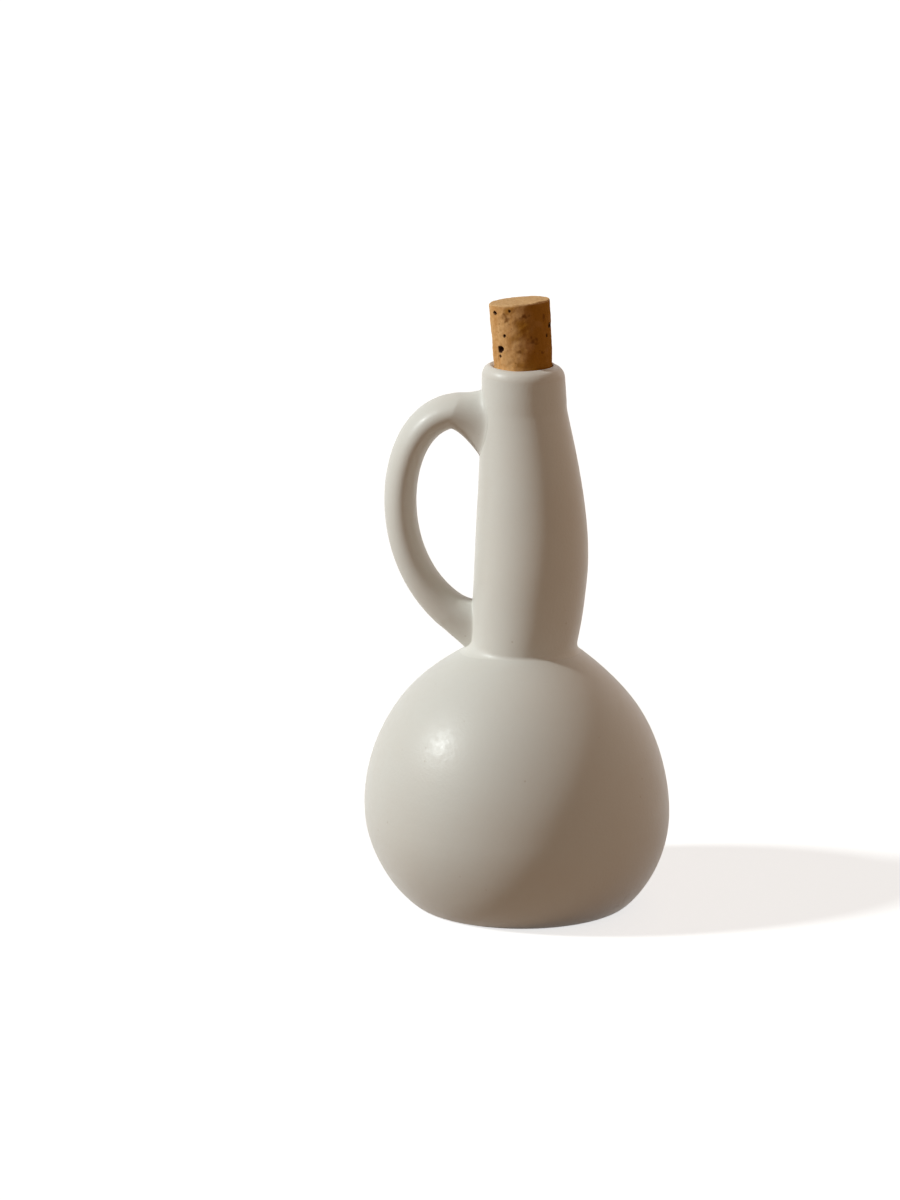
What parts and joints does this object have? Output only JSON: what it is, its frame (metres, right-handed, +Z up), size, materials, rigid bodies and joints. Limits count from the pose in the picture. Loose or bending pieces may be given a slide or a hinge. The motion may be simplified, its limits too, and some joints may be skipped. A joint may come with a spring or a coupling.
{
  "type": "oil carafe",
  "caption": "Stoneware oil carafe: a round globe with a tall bellied neck, a loop handle at its back and a tapered cork stopper that pulls out of the mouth.",
  "frame": {"origin": "centre of the foot, on the surface that the carafe stands on", "axes": "+Z up; the handle is on -X and the belly of the neck on +X, so the XZ plane is the plane of symmetry"},
  "size_m": [0.1128, 0.1128, 0.2252],
  "materials": {
    "globe_glaze": "satin off-white glaze",
    "neck_glaze": "satin off-white glaze",
    "handle_glaze": "satin off-white glaze",
    "cork": "matte natural cork"
  },
  "bodies": {
    "vessel": {"globe_body": "globe_glaze", "neck": "neck_glaze", "handle": "handle_glaze"},
    "cork": {"cork_stopper": "cork"}
  },
  "joints": [
    {"name": "cork_pull", "type": "slide", "parent": "vessel", "child": "cork", "axis": [-0.0663, 0, 0.9978], "range_m": [0, 0.05]}
  ]
}
